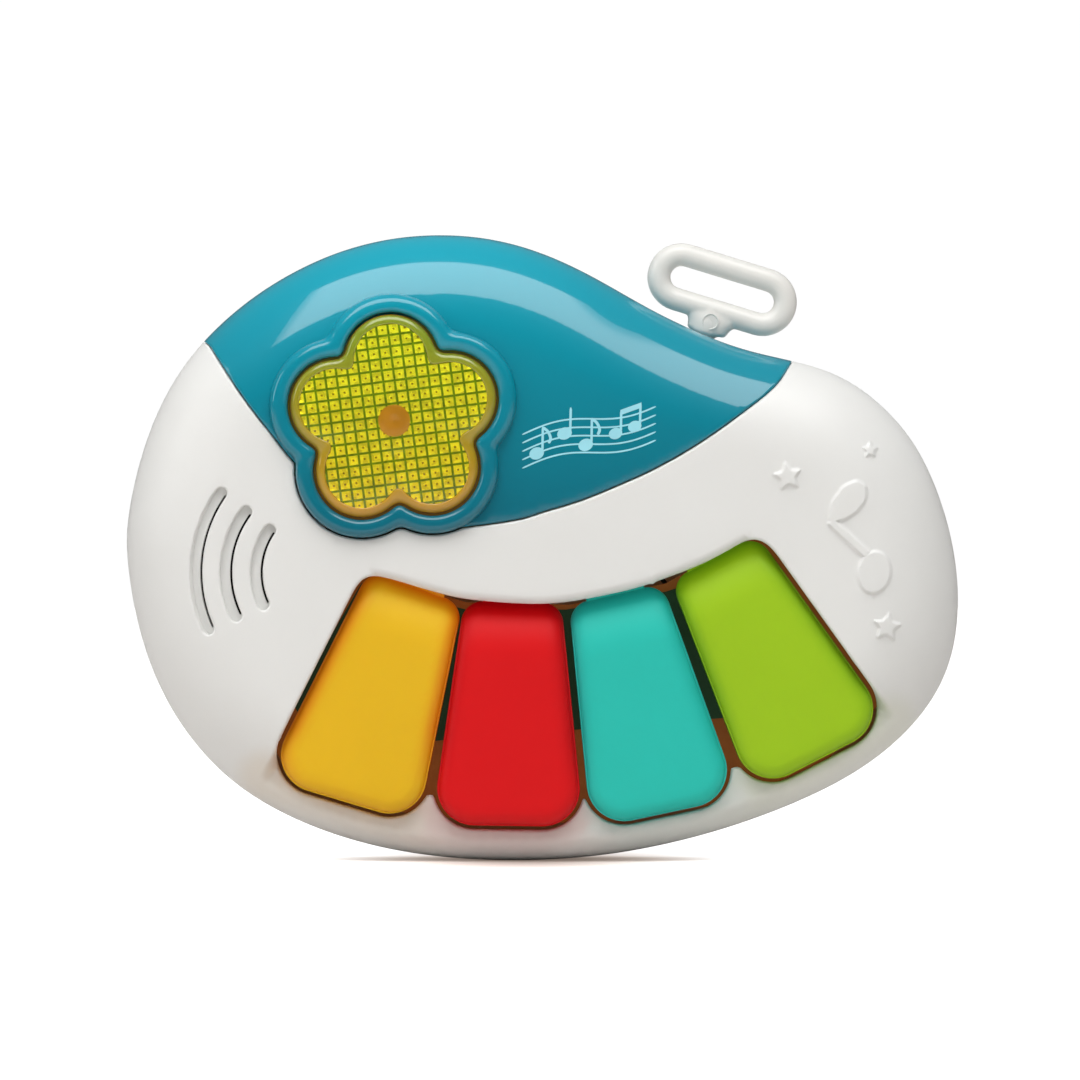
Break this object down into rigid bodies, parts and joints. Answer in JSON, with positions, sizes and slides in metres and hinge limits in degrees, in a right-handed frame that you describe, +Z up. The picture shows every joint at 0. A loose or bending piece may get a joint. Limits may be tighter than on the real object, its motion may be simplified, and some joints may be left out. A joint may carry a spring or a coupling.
{
  "type": "toy keyboard",
  "caption": "Bean-shaped toy keyboard with coloured hinged keys, a flower light button on a glossy top panel, a speaker, a battery bay and a swivelling hanging loop.",
  "frame": {"origin": "centre of the footprint box of the case, on the ground under its lowest edge", "axes": "+Z up, +X to the right of someone facing the keys, +Y from the key side to the back"},
  "size_m": [0.1742, 0.04, 0.1309],
  "materials": {
    "white_shell": "satin",
    "teal_gloss": "gloss",
    "lens_lime": "clear, ribbed",
    "silicone_pale": "matte",
    "board_green": "satin",
    "led_body": "gloss",
    "screw_steel": "zinc plated",
    "key_yellow": "soft matte",
    "key_red": "soft matte",
    "key_turquoise": "soft matte",
    "key_green": "soft matte",
    "black_plastic": "satin",
    "pin_steel": "ground",
    "keypad_rubber": "matte",
    "board_brown": "bare laminate",
    "part_body": "gloss",
    "basket_steel": "stamped",
    "magnet_dark": "matte",
    "cone_paper": "matte paper",
    "wire_red": "satin",
    "wire_black": "satin",
    "cell_wrap": "printed-free wrap",
    "contact_nickel": "nickel",
    "loop_white": "satin"
  },
  "bodies": {
    "case": {"front_shell": "white_shell", "rear_shell": "white_shell", "top_panel": "teal_gloss", "flower_dome": "silicone_pale", "flower_board": "board_green", "flower_leds": "led_body", "flower_board_screws": "screw_steel", "key_frame": "black_plastic", "key_frame_screws": "screw_steel", "hinge_pins": "pin_steel", "dome_yellow": "keypad_rubber", "dome_red": "keypad_rubber", "dome_turquoise": "keypad_rubber", "dome_green": "keypad_rubber", "keypad_sheet": "keypad_rubber", "key_board": "board_brown", "chip_blob": "black_plastic", "board_parts": "part_body", "board_screws": "screw_steel", "speaker_basket": "basket_steel", "speaker_magnet": "magnet_dark", "speaker_cone": "cone_paper", "speaker_clamp": "black_plastic", "speaker_screws": "screw_steel", "speaker_wires": "wire_red", "battery_wires": "wire_black", "battery_cells": "cell_wrap", "battery_springs": "contact_nickel", "battery_tabs": "contact_nickel", "switch_body": "black_plastic", "case_screws": "screw_steel"},
    "flower": {"flower_button": "lens_lime"},
    "knob": {"switch_knob": "black_plastic"},
    "loop": {"hang_loop": "loop_white"},
    "door": {"battery_door": "white_shell", "door_screw": "screw_steel"},
    "key_yellow": {"key_yellow": "key_yellow"},
    "key_red": {"key_red": "key_red"},
    "key_turquoise": {"key_turquoise": "key_turquoise"},
    "key_green": {"key_green": "key_green"}
  },
  "joints": [
    {"name": "key_yellow_press", "type": "hinge", "parent": "case", "child": "key_yellow", "pos_m": [-0.02374, -0.008, 0.0649], "axis": [0.9443, 0, -0.3291], "range_deg": [0, 3], "stiffness_Nm_per_rad": 0.12, "springref_deg": -2.86, "deforming": ["dome_yellow"]},
    {"name": "key_red_press", "type": "hinge", "parent": "case", "child": "key_red", "pos_m": [-0.00602, -0.008, 0.0622], "axis": [0.9997, 0, -0.0225], "range_deg": [0, 3], "stiffness_Nm_per_rad": 0.12, "springref_deg": -2.86, "deforming": ["dome_red"]},
    {"name": "key_turquoise_press", "type": "hinge", "parent": "case", "child": "key_turquoise", "pos_m": [0.01348, -0.008, 0.0636], "axis": [0.9752, 0, 0.2213], "range_deg": [0, 3], "stiffness_Nm_per_rad": 0.12, "springref_deg": -2.86, "deforming": ["dome_turquoise"]},
    {"name": "key_green_press", "type": "hinge", "parent": "case", "child": "key_green", "pos_m": [0.032, -0.008, 0.07046], "axis": [0.8799, 0, 0.4751], "range_deg": [0, 3], "stiffness_Nm_per_rad": 0.12, "springref_deg": -2.86, "deforming": ["dome_green"]},
    {"name": "flower_press", "type": "slide", "parent": "case", "child": "flower", "axis": [0, 1, 0], "range_m": [0, 0.0015], "stiffness_N_per_m": 1500, "springref_m": -0.0005, "deforming": ["flower_dome"]},
    {"name": "power_slide", "type": "slide", "parent": "case", "child": "knob", "axis": [1, 0, 0], "range_m": [0, 0.005]},
    {"name": "loop_swivel", "type": "hinge", "parent": "case", "child": "loop", "pos_m": [0.0343, 0.003, 0.1117], "axis": [0.2924, 0, 0.9563], "range_deg": [-90, 90]},
    {"name": "battery_door_off", "type": "slide", "parent": "case", "child": "door", "axis": [0, 1, 0], "range_m": [0, 0.025]}
  ]
}
